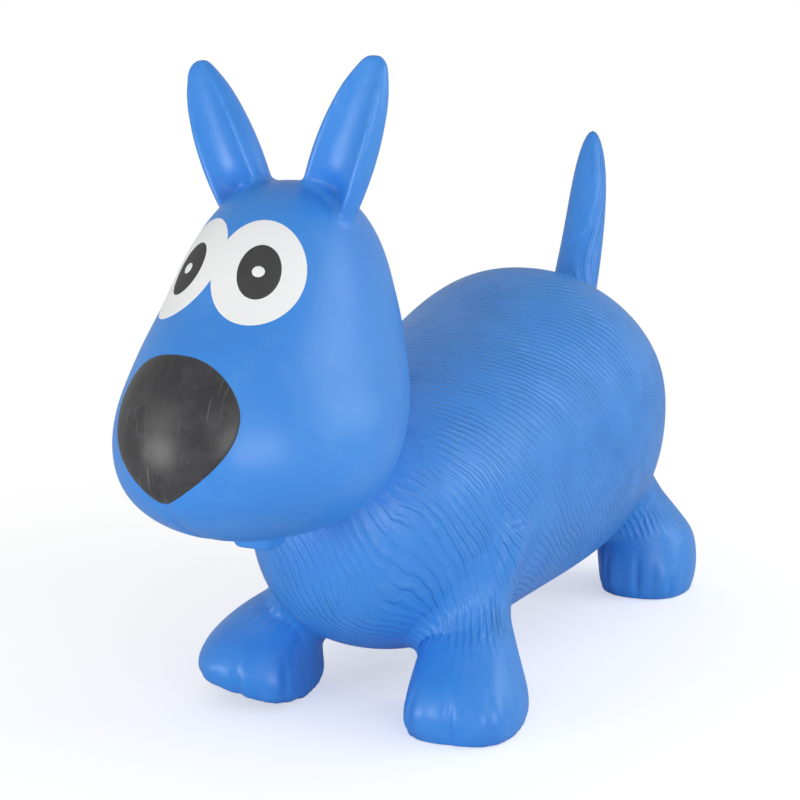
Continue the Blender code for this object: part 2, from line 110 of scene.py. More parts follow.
# %% World, lamps and floor
# Place of each soft box, its size in metres and its power in watts
LAMPS = {
    "key": ((1.40, -1.00, 0.08), 1.1, 14.5),
    "left": ((-0.60, -1.40, 0.08), 0.7, 10.5),
    "back": ((1.30, 0.70, 0.70), 0.9, 5.5),
}
WHITE = (1, 1, 1, 1)
WORLD_LIGHT = 0.52
PAPER_GLOW = 0.50
PAPER_GREY = (0.80, 0.80, 0.80, 1)
PAPER_HALF_WIDTH = 8
SHADOW_END, BURNT_OUT = 0.40, 0.80


def add_node(tree, kind, inputs=None, links=None, output=0, **settings):
    """One output of a new node with its settings, socket values and incoming links."""
    node = tree.nodes.new("ShaderNode" + kind)
    for key, value in settings.items():
        setattr(node, key, value)
    for key, value in (inputs or {}).items():
        node.inputs[key].default_value = value
    for key, socket in (links or {}).items():
        tree.links.new(socket, node.inputs[key])
    return node.outputs[output] if node.outputs else None


def empty_tree(holder):
    """The node tree of a world or a material, with nothing in it."""
    holder.use_nodes = True
    holder.node_tree.nodes.clear()
    return holder.node_tree


def mixed(tree, share, first, second):
    """A shader between two, by the share of the second."""
    return add_node(tree, "MixShader", links={0: share, 1: first, 2: second})


def remap(tree, value, low, high, start=0.0, end=1.0, kind="LINEAR"):
    """A number moved from the range of low to high into the range of start to end."""
    ranges = {"From Min": low, "From Max": high, "To Min": start, "To Max": end}
    return add_node(tree, "MapRange", ranges, {"Value": value}, interpolation_type=kind)


middle = (CAD_BOX[0] + CAD_BOX[1]) / 2
for name, (place, size, power) in LAMPS.items():
    light = bpy.data.lights.new(name, "AREA")
    light.shape, light.size, light.energy = "SQUARE", size, power
    lamp = bpy.data.objects.new(name, light)
    bpy.context.collection.objects.link(lamp)
    lamp.location = place
    lamp.rotation_euler = (middle - Vector(place)).to_track_quat("-Z", "Y").to_euler()

world = bpy.data.worlds.new("studio")
bpy.context.scene.world = world
tree = empty_tree(world)
to_camera = add_node(tree, "LightPath", output="Is Camera Ray")
shown, given = (
    add_node(tree, "Background", {"Color": WHITE, "Strength": light})
    for light in (1.0, WORLD_LIGHT)
)
add_node(tree, "OutputWorld", links={"Surface": mixed(tree, to_camera, given, shown)})

paper = bmesh.new()
bmesh.ops.create_grid(paper, x_segments=2, y_segments=2, size=PAPER_HALF_WIDTH)
floor_mesh = bpy.data.meshes.new("floor")
paper.to_mesh(floor_mesh)
paper.free()
floor = bpy.data.objects.new("floor", floor_mesh)
bpy.context.collection.objects.link(floor)

paper_white = bpy.data.materials.new("matt white paper")
tree = empty_tree(paper_white)
to_camera = add_node(tree, "LightPath", output="Is Camera Ray")
diffuse = add_node(tree, "BsdfDiffuse", {"Color": PAPER_GREY})
glow, white = (
    add_node(tree, "Emission", {"Color": WHITE, "Strength": light})
    for light in (PAPER_GLOW, 1.0)
)
near = add_node(tree, "AddShader", links={0: diffuse, 1: glow})
place = add_node(tree, "TexCoord", output="Object")
away = add_node(tree, "VectorMath", links={0: place}, output="Value", operation="LENGTH")
burnt_out = remap(tree, away, SHADOW_END, BURNT_OUT, kind="SMOOTHSTEP")
sheet = mixed(tree, burnt_out, near, white)
add_node(tree, "OutputMaterial", links={"Surface": mixed(tree, to_camera, diffuse, sheet)})
floor_mesh.materials.append(paper_white)
bpy.context.scene.view_settings.view_transform = "Standard"

# %% [markdown]
# ## A ball for every region
#
# A blown form is a ball that the mould has pushed out of round. So each region starts as a
# sphere, and a short rule moves its points: how far along the region a point is gives the
# centre and the half sizes of its ring, read from a small table of shares. The sizes are the
# CAD model's. Some rows of the tables follow the photo more closely than the CAD's do.

# %% Sizes of the forms
BODY_LENGTH = 0.485
BODY_HEIGHT = 0.252
BODY_WIDTH = 0.220
BELLY_CLEARANCE = 0.032
HEAD_LENGTH = 0.220
HEAD_WIDTH = 0.162
HEAD_HEIGHT = 0.214
CHIN_HEIGHT = 0.149
REAR_Y = 0.3165
NOSE_Y = -REAR_Y
CHEST_Y = REAR_Y - BODY_LENGTH
BODY_POWER, BODY_SECTION_POWER, HEAD_POWER = 2.6, 2.15, 2.4

# Torso, by the share of its length from the chest:
# middle height above the belly, rise and fall about it, half width
TORSO_SHARES = [
    (0.00, 0.42, 0.68, 0.95, 0.86),
    (0.20, 0.43, 0.69, 0.95, 0.91),
    (0.45, 0.45, 0.85, 0.93, 0.92),
    (0.70, 0.49, 1.02, 1.00, 1.04),
    (1.00, 0.53, 0.77, 1.18, 1.08),
]

# Head, by the share of its height from the chin:
# setback of its widest line behind the nose, reach forwards and backwards, half width
HEAD_SHARES = [
    (0.00, 0.525, 0.650, 0.330, 1.110),
    (0.14, 0.500, 0.605, 0.400, 1.120),
    (0.25, 0.489, 0.555, 0.460, 1.080),
    (0.39, 0.500, 0.515, 0.505, 0.975),
    (0.54, 0.524, 0.478, 0.530, 0.812),
    (0.68, 0.552, 0.393, 0.482, 0.755),
    (0.83, 0.578, 0.352, 0.455, 0.725),
    (1.00, 0.605, 0.325, 0.410, 0.730),
]


def between(rows, share):
    """The row at a share along a table, on a smooth curve through its rows."""
    i = max(k for k in range(len(rows) - 1) if k == 0 or rows[k][0] <= share)
    a, b = rows[i], rows[i + 1]
    before, after = rows[max(i - 1, 0)], rows[min(i + 2, len(rows) - 1)]
    span = b[0] - a[0]
    t = (share - a[0]) / span
    result = []
    for p, q, r, s in zip(before[1:], a[1:], b[1:], after[1:]):
        slope_in = (r - p) / (b[0] - before[0]) * span
        slope_out = (s - q) / (after[0] - a[0]) * span
        result.append(
            q * (2 * t**3 - 3 * t**2 + 1)
            + slope_in * (t**3 - 2 * t**2 + t)
            + r * (3 * t**2 - 2 * t**3)
            + slope_out * (t**3 - t**2)
        )
    return result


def rounding(share, blunt):
    """How far a blown form is drawn in at a share along it: 0 at its ends, 1 in the middle."""
    return max(0.0, 1 - abs(2 * share - 1) ** blunt) ** (1 / blunt)


def squaring(turn, power):
    """How far a ring bulges at a turn: 1 on its two axes, and more towards its corners."""
    return (abs(turn[0]) ** power + abs(turn[1]) ** power) ** (-1 / power)


def blown(name, rule, around, along):
    """A ball whose points a rule moves: from a share along the ball and a turn about it."""
    bm = bmesh.new()
    bmesh.ops.create_uvsphere(bm, u_segments=around, v_segments=along, radius=1)
    for vert in bm.verts:
        share = (1 + vert.co.z) / 2
        flat = math.hypot(vert.co.x, vert.co.y)
        turn = (vert.co.x / flat, vert.co.y / flat) if flat > 1e-6 else (1.0, 0.0)
        vert.co = rule(min(max(share, 0.0), 1.0), turn, flat < 1e-6)
    bmesh.ops.recalc_face_normals(bm, faces=bm.faces)
    print(name, "ball of", len(bm.faces), "faces")
    return bm


def torso_rule(share, turn, pole):
    """A point of the torso: the ball's axis lies along the dog, from the chest back."""
    middle, rise, fall, side = between(TORSO_SHARES, share)
    drawn = 0 if pole else rounding(share, BODY_POWER)
    c, s = turn
    reach = drawn * squaring(turn, BODY_SECTION_POWER)
    half = rise if s > 0 else fall
    x, y = c * reach * side * BODY_WIDTH / 2, CHEST_Y + share * BODY_LENGTH
    z = BELLY_CLEARANCE + middle * BODY_HEIGHT + s * reach * half * BODY_HEIGHT / 2
    return Vector((x, y, z))


def head_rule(share, turn, pole):
    """A point of the head: the ball's axis stands up, and the face looks along -Y."""
    setback, fore, aft, side = between(HEAD_SHARES, share)
    drawn = 0 if pole else rounding(share, HEAD_POWER)
    c, s = turn
    reach = fore if s > 0 else aft
    y = NOSE_Y + setback * HEAD_LENGTH - s * drawn * reach * HEAD_LENGTH
    return Vector((c * drawn * side * HEAD_WIDTH / 2, y, CHIN_HEIGHT + share * HEAD_HEIGHT))


forms = {"torso": blown("torso", torso_rule, 240, 160), "head": blown("head", head_rule, 200, 128)}

# %% [markdown]
# ## Legs with flat soles
#
# A leg is a ball too, but its lower pole is pressed flat for the sole, and its upper pole hides
# inside the body. A table gives the lean and the reach of every ring, so the ankle is narrow
# and the paw is broad, with squarish corners. The four aren't quite alike, as blown paws never
# are: the front right one is turned in, longer than the others and rolled off its outer edge.

# %% Legs
PAW_WIDTH = 0.081
PAW_REACH = 0.051
PAW_HEEL = 0.038
LEG_HEIGHT = 0.128
SOLE_SHARE = 0.22
TOP_SHARE = 0.90
ROLL_END_SHARE = 0.55

# By end: track, y of the paws, their squareness, and how far back of them a leg's top lies
LEG_ENDS = {"front": (0.160, -0.0895, 2.75, 0.047), "rear": (0.144, 0.2785, 2.3, -0.024)}

# By paw: splay in degrees, reach forwards, roll, and how far the leg's top lies inwards
PAWS = {
    "front_left": (11, PAW_REACH, 0.0, 0.022),
    "front_right": (-14, 0.063, 0.26, 0.046),
    "rear_left": (10, PAW_REACH, 0.0, 0.034),
    "rear_right": (10, PAW_REACH, 0.0, 0.034),
}

# By the share of the leg's height from the sole: lean, reach forwards, reach backwards, half width
LEG_SHARES = {
    "front": [
        (0.00, 0.00, 0.94, 0.92, 0.91),
        (0.06, 0.00, 1.01, 0.98, 0.97),
        (0.16, 0.00, 1.03, 0.97, 0.95),
        (0.28, 0.06, 0.94, 0.86, 0.86),
        (0.39, 0.20, 0.77, 0.80, 0.76),
        (0.52, 0.46, 0.58, 0.88, 0.65),
        (0.65, 0.74, 0.54, 1.30, 0.72),
        (0.82, 0.92, 0.58, 1.62, 0.94),
        (1.00, 1.00, 0.60, 1.50, 1.00),
    ],
    "rear": [
        (0.00, 0.00, 0.94, 0.92, 0.91),
        (0.06, 0.00, 1.01, 0.98, 0.97),
        (0.16, 0.00, 1.02, 1.00, 1.01),
        (0.28, 0.03, 0.98, 1.02, 1.02),
        (0.39, 0.10, 0.88, 1.04, 0.99),
        (0.52, 0.30, 0.76, 1.02, 0.88),
        (0.66, 0.55, 0.68, 0.96, 0.78),
        (0.82, 0.80, 0.68, 0.84, 0.76),
        (1.00, 1.00, 0.64, 0.66, 0.68),
    ],
}


def arc_share(share):
    """A share of a ball's height as a share of the arc from pole to pole."""
    return math.acos(1 - 2 * share) / math.pi


class Corner:
    """One leg of the dog: its name, side, end, ankle and the two ways its paw faces."""

    def __init__(self, end_name, side_name):
        self.name = f"{end_name}_{side_name}"
        self.left = SIDES[side_name]
        self.table = LEG_SHARES[end_name]
        track, back, self.power, self.setback = LEG_ENDS[end_name]
        splay, self.reach, self.roll, self.offset = PAWS[self.name]
        splay = math.radians(splay)
        self.ankle = Vector((self.left * track / 2, back, 0))
        self.outward = Vector((self.left * math.cos(splay), math.sin(splay), 0))
        self.forward = Vector((self.left * math.sin(splay), -math.cos(splay), 0))

    def centre(self, share):
        """The middle of the leg at a share of its height."""
        lean = between(self.table, share)[0]
        inward = X * (-self.left * lean * self.offset)
        return self.ankle + inward + Y * (lean * self.setback)

    def rule(self, share, turn, pole):
        """A point of the leg, with the ball's lower pole spread over the sole."""
        polar = arc_share(share)
        if polar < SOLE_SHARE:
            drawn, up = polar / SOLE_SHARE, 0.0
        elif polar > TOP_SHARE:
            drawn, up = (1 - polar) / (1 - TOP_SHARE), 1.0
        else:
            drawn, up = 1.0, (polar - SOLE_SHARE) / (TOP_SHARE - SOLE_SHARE)
        drawn = 0 if pole else drawn
        _, fore, aft, side = between(self.table, up)
        c, s = (v * squaring(turn, self.power) for v in turn)
        reach = fore * self.reach if s > 0 else aft * PAW_HEEL
        point = self.centre(up) + self.outward * (c * drawn * side * PAW_WIDTH / 2)
        point += self.forward * (s * drawn * reach) + Z * (up * LEG_HEIGHT)
        roll_share = max(0.0, 1 - up / ROLL_END_SHARE)
        lifted = self.roll * (c * drawn * side + 1) * PAW_WIDTH / 2 * roll_share
        return point + Z * lifted


corners = [Corner(end, side) for end in LEG_ENDS for side in SIDES]
for corner in corners:
    forms[corner.name] = blown(corner.name, corner.rule, 128, 96)

# %% [markdown]
# ## Ears, tail and lips
#
# Each ear has a rounded back and a dished front panel between two ridges. The section is a
# smooth closed curve through a few shares, swept up an axis that leans outwards, a little more
# on the right. The tail is a horn whose axis curls upright, and two small pads side by side under
# the muzzle are the chin.

# %% Ears, tail and lips
EAR_LENGTH = 0.0985
EAR_BURIED = 0.022
EAR_WIDTH = 0.040
EAR_DEPTH = 0.028
EAR_SPACING = 0.055
EAR_SETBACK = 0.136
EAR_LEANS = {-1: math.radians(23.5), 1: math.radians(21)}
EAR_PERCH_SHARE = 0.92
EAR_TIP_SHARE = 0.03
EAR_RING_POWER = 1.6
TAIL_LENGTH = 0.141
TAIL_BURIED = 0.024
TAIL_WIDTH = 0.037
TAIL_INSET = 0.0395
TAIL_PERCH = 0.2504
TAIL_LEAN = math.radians(30)
TAIL_CURL = math.radians(-26)
TAIL_STEPS = 60
LIP_WIDTH = 0.017
LIP_LENGTH = 0.026
LIP_DEPTH = 0.014
LIP_SPACING = 0.0110
LIP_SETBACK = 0.097
LIP_DROP = 0.008
LIP_POWER = 4.0

# Ear, by the share of its whole length from its buried foot: half depth and half width
EAR_SHARES = [
    (0.00, 0.86, 0.84), (0.19, 0.88, 0.92), (0.30, 0.96, 0.98), (0.46, 1.00, 1.00),
    (0.63, 0.94, 0.93), (0.80, 0.76, 0.75), (0.92, 0.50, 0.50), (0.97, 0.33, 0.35),
    (1.00, 0.14, 0.14),
]

# Half of the ear's section from its back to its front: out from the middle, and forwards
EAR_SECTION_SHARES = [
    (0.00, -1.00), (0.36, -0.95), (0.68, -0.75), (0.90, -0.42), (1.00, 0.00), (0.98, 0.40),
    (0.86, 0.84), (0.74, 0.90), (0.52, 0.68), (0.27, 0.54), (0.00, 0.50),
]

# Tail, by the share of its whole length from its buried foot: thickness
TAIL_SHARES = [(0.00, 1.15), (0.17, 1.04), (0.35, 0.98), (0.60, 0.88), (0.80, 0.76), (1.00, 0.60)]


def ear_axis(left):
    """Where an ear's foot stands on the head, and the way it points."""
    height = CHIN_HEIGHT + EAR_PERCH_SHARE * HEAD_HEIGHT
    foot = Vector((left * EAR_SPACING / 2, NOSE_Y + EAR_SETBACK, height))
    return foot, Vector((left * math.sin(EAR_LEANS[left]), 0, math.cos(EAR_LEANS[left])))


def mirrored(shares, along, c):
    """A point of an outline that mirrors its half, at a share along the half."""
    rows = [(k / (len(shares) - 1), *row) for k, row in enumerate(shares)]
    out, up = between(rows, min(max(along, 0.0), 1.0))
    return math.copysign(out, c), up


def ear_outline(turn):
    """The ear's section at a turn about its axis: out from the middle, and forwards."""
    c, s = turn
    return mirrored(EAR_SECTION_SHARES, math.atan2(s, abs(c)) / math.pi + 0.5, c)


def ear_rule(left):
    """The rule that moves a ball's points to one ear."""
    foot, way = ear_axis(left)
    across = Vector((left * way.z, 0, -left * way.x))

    def rule(share, turn, pole):
        up = 1 - (1 - arc_share(share)) ** EAR_RING_POWER
        depth, side = between(EAR_SHARES, up)
        out, fore = (0, 0) if pole else ear_outline(turn)
        tip = math.sqrt(max(0.0, 1 - (1 - min(1.0, (1 - up) / EAR_TIP_SHARE)) ** 2))
        height = up * (EAR_LENGTH + EAR_BURIED) - EAR_BURIED
        sideways = across * (out * tip * side * EAR_WIDTH / 2)
        return foot + way * height + sideways - Y * (fore * tip * depth * EAR_DEPTH / 2)

    return rule


TAIL_FOOT = Vector((0, REAR_Y - TAIL_INSET, TAIL_PERCH))
TAIL_WAY = Vector((0, math.sin(TAIL_LEAN), math.cos(TAIL_LEAN)))
# The tail's middle line, from its buried foot to its tip
TAIL_SPINE = [TAIL_FOOT - TAIL_WAY * TAIL_BURIED]
for k in range(TAIL_STEPS):
    heading = TAIL_LEAN + TAIL_CURL * k / TAIL_STEPS
    step = Vector((0, math.sin(heading), math.cos(heading)))
    TAIL_SPINE.append(TAIL_SPINE[-1] + step * ((TAIL_LENGTH + TAIL_BURIED) / TAIL_STEPS))


def tail_rule(share, turn, pole):
    """A point of the tail: the ball's axis is bent along the tail's middle line."""
    up = arc_share(share)
    spot = up * TAIL_STEPS
    k = min(int(spot), TAIL_STEPS - 1)
    centre = TAIL_SPINE[k].lerp(TAIL_SPINE[k + 1], spot - k)
    heading = TAIL_LEAN + TAIL_CURL * up
    (thick,) = between(TAIL_SHARES, up)
    drawn = math.sqrt(max(0.0, 1 - max(0.0, 2 * up - 1) ** 4))
    radius = 0 if pole else thick * drawn * TAIL_WIDTH / 2
    c, s = turn
    behind = Vector((0, math.cos(heading), -math.sin(heading)))
    return centre + X * (c * radius) + behind * (s * radius)


def lip_rule(left):
    """The rule that moves a ball's points to one half of the chin."""
    corner = Vector((left * LIP_SPACING / 2, NOSE_Y + LIP_SETBACK, CHIN_HEIGHT - LIP_DROP))

    def rule(share, turn, pole):
        drawn = 0 if pole else rounding(share, LIP_POWER)
        c, s = turn
        reach = drawn * squaring(turn, LIP_POWER)
        x, y = c * reach * LIP_WIDTH / 2, -s * reach * LIP_LENGTH / 2
        return corner + Vector((x, y, share * LIP_DEPTH))

    return rule


for side_name, left in SIDES.items():
    forms[f"ear_{side_name}"] = blown(f"ear_{side_name}", ear_rule(left), 96, 96)
    forms[f"lip_{side_name}"] = blown(f"lip_{side_name}", lip_rule(left), 40, 28)
forms["tail"] = blown("tail", tail_rule, 64, 96)

# %% [markdown]
# ## One skin from many forms
#
# The forms overlap, but the real skin has no inside walls. A voxel remesh keeps only the
# outermost surface of the whole heap, as squares of even size, which is what smoothing and
# carving need. Voxels of 1.6 mm are fine enough for the toes and the ridges of the ears.

# %% Remesh
VOXEL = 1.6 * MM


def mesh_object(name, bm):
    """A mesh object at the origin."""
    mesh = bpy.data.meshes.new(name)
    bm.to_mesh(mesh)
    bm.free()
    holder = bpy.data.objects.new(name, mesh)
    bpy.context.collection.objects.link(holder)
    return holder


def rows_of(items, key, width=3, kind=float):
    """One row of values for each item of a mesh."""
    flat = np.empty(len(items) * width, dtype=kind)
    items.foreach_get(key, flat)
    return flat.reshape(-1, width)


trees, boxes = {}, {}
heap = bmesh.new()
for name, bm in forms.items():
    trees[name] = BVHTree.FromBMesh(bm)
    places = np.array([vert.co for vert in bm.verts])
    boxes[name] = (places.min(0), places.max(0))
    part = bpy.data.meshes.new(name)
    bm.to_mesh(part)
    heap.from_mesh(part)
    bpy.data.meshes.remove(part)
    bm.free()
raw = mesh_object("skin", heap)
melt = raw.modifiers.new("melt", "REMESH")
melt.mode, melt.voxel_size = "VOXEL", VOXEL
melted = raw.evaluated_get(bpy.context.evaluated_depsgraph_get())
skin = bpy.data.meshes.new_from_object(melted)
bpy.data.objects.remove(raw)
print("one skin of", len(skin.polygons), "squares")

# %% [markdown]
# ## Joins softened by air pressure
#
# Where two forms meet, a blown skin can't keep a sharp valley: it bridges it in a soft curve.
# The distance of each point to both forms tells how near a join it is. Points near a join are
# moved to the middle of their neighbours many times, and points far from it stay.

# %% Soften the joins
NECK_SOFTNESS = 0.024
LEG_SOFTNESS = 0.032
EAR_SOFTNESS = 0.007
TAIL_SOFTNESS = 0.010
LIP_SOFTNESS = 0.004
FAR = 0.040
FIRST_PASSES, LAST_PASSES = 6, 3
BRIDGE_CORE, BRIDGE_PASSES = 0.25, 1.5
BRIDGE_RISE = -0.1 * MM, 0.8 * MM


def soft_step(low, high, value):
    """0 below low, 1 above high, and a smooth ramp between."""
    t = np.clip((value - low) / (high - low), 0, 1)
    return t * t * (3 - 2 * t)


def distance_to(name, points):
    """How far each point is from one form, up to a limit."""
    low, high = boxes[name]
    result = np.full(len(points), FAR)
    near = np.all((points > low - FAR) & (points < high + FAR), axis=1)
    for i in np.flatnonzero(near):
        found = trees[name].find_nearest(points[i], FAR)
        if found[3] is not None:
            result[i] = found[3]
    return result


def relax(points, passes, weight=None):
    """Move points towards the middle of their neighbours, each as far as its weight lets it."""
    weight = np.ones(len(points)) if weight is None else weight
    mark = weight > 1e-4
    number = np.cumsum(mark) - 1
    start = np.concatenate([edges[:, 0], edges[:, 1]])
    other = np.concatenate([edges[:, 1], edges[:, 0]])
    keep = mark[start]
    start, other = number[start[keep]], other[keep]
    size = int(mark.sum())
    count = np.bincount(start, minlength=size)[:, None]
    step = weight[mark][:, None] / 2
    for _ in range(passes):
        columns = [np.bincount(start, weights=points[other, k], minlength=size) for k in range(3)]
        points[mark] += step * (np.stack(columns, 1) / count - points[mark])
    return points


points = rows_of(skin.vertices, "co")
edges = rows_of(skin.edges, "vertices", 2, np.int64)
points = relax(points, FIRST_PASSES)
reach = {name: distance_to(name, points) for name in trees}


def outward_of(points):
    """The direction straight out of the skin at each of its vertices."""
    skin.vertices.foreach_set("co", points.ravel())
    skin.update()
    return rows_of(skin.vertex_normals, "vector")


def bridge(points, first, second, softness):
    """Fill the valley between two forms, and leave what is already outside it alone."""
    nearness = 1 - soft_step(BRIDGE_CORE, 1.0, np.maximum(reach[first], reach[second]) / softness)
    passes = int(BRIDGE_PASSES * (softness / VOXEL) ** 2)
    out = outward_of(points)
    filled = relax(points.copy(), passes, nearness)
    rise = np.sum((filled - points) * out, axis=1)
    print("bridged", first, "to", second, "by up to", round(rise.max() / MM, 1), "mm")
    return points + (filled - points) * soft_step(*BRIDGE_RISE, rise)[:, None]


joins = [("torso", "head", NECK_SOFTNESS), ("torso", "tail", TAIL_SOFTNESS)]
joins += [("torso", corner.name, LEG_SOFTNESS) for corner in corners]
for side_name in SIDES:
    joins += [("head", f"ear_{side_name}", EAR_SOFTNESS), ("head", f"lip_{side_name}", LIP_SOFTNESS)]
for first, second, softness in joins:
    points = bridge(points, first, second, softness)
points = relax(points, LAST_PASSES)

# %% [markdown]
# ## Toes, ear hollows and the seam of the mouth
#
# The mould presses a deep groove between two faint ones into the front of each paw, a hollow at
# the foot of each ear, and a line from the nose down between the lips. A groove is a smooth bell
# of depth across a line, so each detail is one formula that says how far every point of the skin
# moves, and which way.

# %% Carve
TOE_GROOVE_DEPTH = 2.6 * MM
TOE_GROOVE_WIDTH = 3.4 * MM
TOE_PITCH = math.radians(37)
TOE_SPAN = 1.9 * TOE_PITCH
TOE_SWELL = 3.0 * MM
TOE_MARGIN = 4 * MM
# Grooves by their turn in pitches, each with its share of the depth
TOE_GROOVES = ((-1, 0.35), (0, 1.0), (1, 0.35))
# Where the toes fade in from the heel, and by their height above the sole
TOE_HEEL_FADE = -0.006, 0.010
TOE_SOLE_FADE = -0.004, 0.012
TOE_TOP_FADE = 0.018, 0.044
HOLLOW_DEPTH = 6.0 * MM
HOLLOW_WIDTH, HOLLOW_FLARE = 8.0 * MM, 0.1
HOLLOW_RISE, HOLLOW_LENGTH = 0.010, 0.011
HOLLOW_MARGIN = 0.012
CROWN_FADE = 0.0005, 0.0060
MOUTH_DEPTH, MOUTH_WIDTH = 1.8 * MM, 2.4 * MM
MOUTH_BOTTOM_FADE = 0.150, 0.160
MOUTH_TOP_FADE = 0.196, 0.206
FACE_Y = -0.22


def bell(distance, width):
    """1 on a line, falling smoothly to 0 a few widths away."""
    return np.exp(-((distance / width) ** 2))


def level_way(vectors):
    """Directions laid level, each of length 1."""
    flat = vectors * (1, 1, 0)
    return flat / np.maximum(np.linalg.norm(flat, axis=1), 1e-6)[:, None]


def carve_toes(points, corner):
    """Notch the front of a paw between its toes and swell the toes between the notches."""
    offset = points - np.array(corner.ankle)
    out, fore = offset @ np.array(corner.outward), offset @ np.array(corner.forward)
    height = points[:, 2]
    near = (reach[corner.name] < TOE_MARGIN) * soft_step(*TOE_HEEL_FADE, fore)
    turn = np.arctan2(out / (PAW_WIDTH / 2), fore / PAW_REACH)
    radius = np.hypot(out, fore)
    fade = (1 - soft_step(*TOE_TOP_FADE, height)) * soft_step(*TOE_SOLE_FADE, height)
    notch = sum(
        share * bell((turn - k * TOE_PITCH) * radius, TOE_GROOVE_WIDTH) for k, share in TOE_GROOVES
    )
    swell = np.cos(turn * math.pi / TOE_PITCH + math.pi) * (np.abs(turn) < TOE_SPAN)
    depth = notch * TOE_GROOVE_DEPTH - np.maximum(swell, 0) * TOE_SWELL * (1 - notch)
    return points - level_way(offset) * (depth * fade * near)[:, None]


def carve_hollow(points, side_name):
    """Press in the hollow where the front panel of an ear meets the forehead."""
    foot, way = (np.array(v) for v in ear_axis(SIDES[side_name]))
    across = np.cross(way, (0, 1, 0))
    offset = points - foot
    up, side, fore = offset @ way, offset @ across, -offset[:, 1]
    width = HOLLOW_WIDTH + HOLLOW_FLARE * np.maximum(up, 0)
    dent = bell(side, width) * bell(up - HOLLOW_RISE, HOLLOW_LENGTH) * (fore > 0)
    near = reach[f"ear_{side_name}"] < HOLLOW_MARGIN
    off_crown = soft_step(*CROWN_FADE, reach["head"])
    return points + np.array((0, 1, 0)) * (dent * HOLLOW_DEPTH * near * off_crown)[:, None]


for corner in corners:
    points = carve_toes(points, corner)
for side_name in SIDES:
    points = carve_hollow(points, side_name)

out = outward_of(points)
under_nose = soft_step(*MOUTH_BOTTOM_FADE, points[:, 2])
under_nose *= 1 - soft_step(*MOUTH_TOP_FADE, points[:, 2])
front = points[:, 1] < FACE_Y
points -= out * (bell(points[:, 0], MOUTH_WIDTH) * under_nose * front * MOUTH_DEPTH)[:, None]
points = relax(points, 1)

# %% [markdown]
# ## The moulding round the air valve
#
# Under the belly the mould leaves a shallow round seat for the plug. The skin is pushed up into
# the body there, and a turned seat with a blind bore fills the dent later. What comes close to
# the floor is pressed flat for the soles.

# %% Valve dent and flat soles
VALVE_SETBACK = 0.250
DENT_FADE = 0.0085, 0.0115
DENT_DEPTH, DENT_BELOW = 0.019, 0.08
SOLE_EDGE, SOLE_PRESS = 0.0025, 0.4
valve_y = CHEST_Y + VALVE_SETBACK
middle_row = between(TORSO_SHARES, VALVE_SETBACK / BODY_LENGTH)
belly_z = BELLY_CLEARANCE + middle_row[0] * BODY_HEIGHT
belly_z -= rounding(VALVE_SETBACK / BODY_LENGTH, BODY_POWER) * middle_row[2] * BODY_HEIGHT / 2
VALVE = Vector((0, valve_y, belly_z))

from_valve = np.hypot(points[:, 0], points[:, 1] - valve_y)
low = points[:, 2] < DENT_BELOW
points[:, 2] += (1 - soft_step(*DENT_FADE, from_valve)) * low * DENT_DEPTH
points[:, 2] = np.where(points[:, 2] < SOLE_EDGE, points[:, 2] * SOLE_PRESS, points[:, 2])
points[:, 2] = np.maximum(points[:, 2], 0)
print("belly at the valve", round(belly_z, 4), "lowest point", points[:, 2].min())

# %% [markdown]
# ## Which way the fur runs
#
# The coat is a moulded pattern of shallow wavy grooves: a wave along one number, which says how
# far a point is across the grooves. The number is a sum of powers of the distances back, up and
# out, fitted to the ways the grooves run in the photo over chest, flank and rump. Round each
# ankle a second number, the distance round the leg, makes upright creases. The coat fades out at
# the head, the belly, the tail's foot and the middle of the rump, where the ways would clash.

# %% Fur fields
FUR_REACH, FUR_LEVEL, SPINE_ROUND = 0.200, 0.15, 0.008
PARTING, PARTING_FADE = 0.030, (-0.165, -0.110)
TAIL_EDGE, TAIL_EDGE_START = 0.008, 0.001
TAIL_ACROSS_UP, TAIL_ACROSS_BACK = 0.35, -0.94
RUMP_Y, RUMP_LEVEL, RUMP_FADE = 0.22, 0.185, (0.020, 0.065)
EAR_MARGIN = 0.004
HEAD_FADE, BELLY_FADE = (0.002, 0.032), (0.045, 0.080)
ANKLE_AXIS_HEIGHTS, ANKLE_AXIS_SHARES = (0.03, 0.09), (0.25, 0.7)
ANKLE_HEIGHT, ANKLE_BAND, ANKLE_FADE = 0.068, 0.012, (0.001, 0.014)
ANKLE_REACH, ANKLE_RADIUS = 0.075, 0.034
# Shares of the number across the grooves, each with the powers of the distances back, up and out
FUR_SHARES = [
    (0.67, 1, 0, 0), (1.25, 0, 1, 0), (0.40, 0, 0, 1), (0.18, 2, 0, 0), (0.22, 1, 1, 0),
    (0.28, 0, 2, 0), (-0.17, 1, 0, 1), (-1.31, 0, 1, 1), (0.11, 3, 0, 0), (-0.36, 2, 1, 0), (-0.63, 1, 2, 0),
]


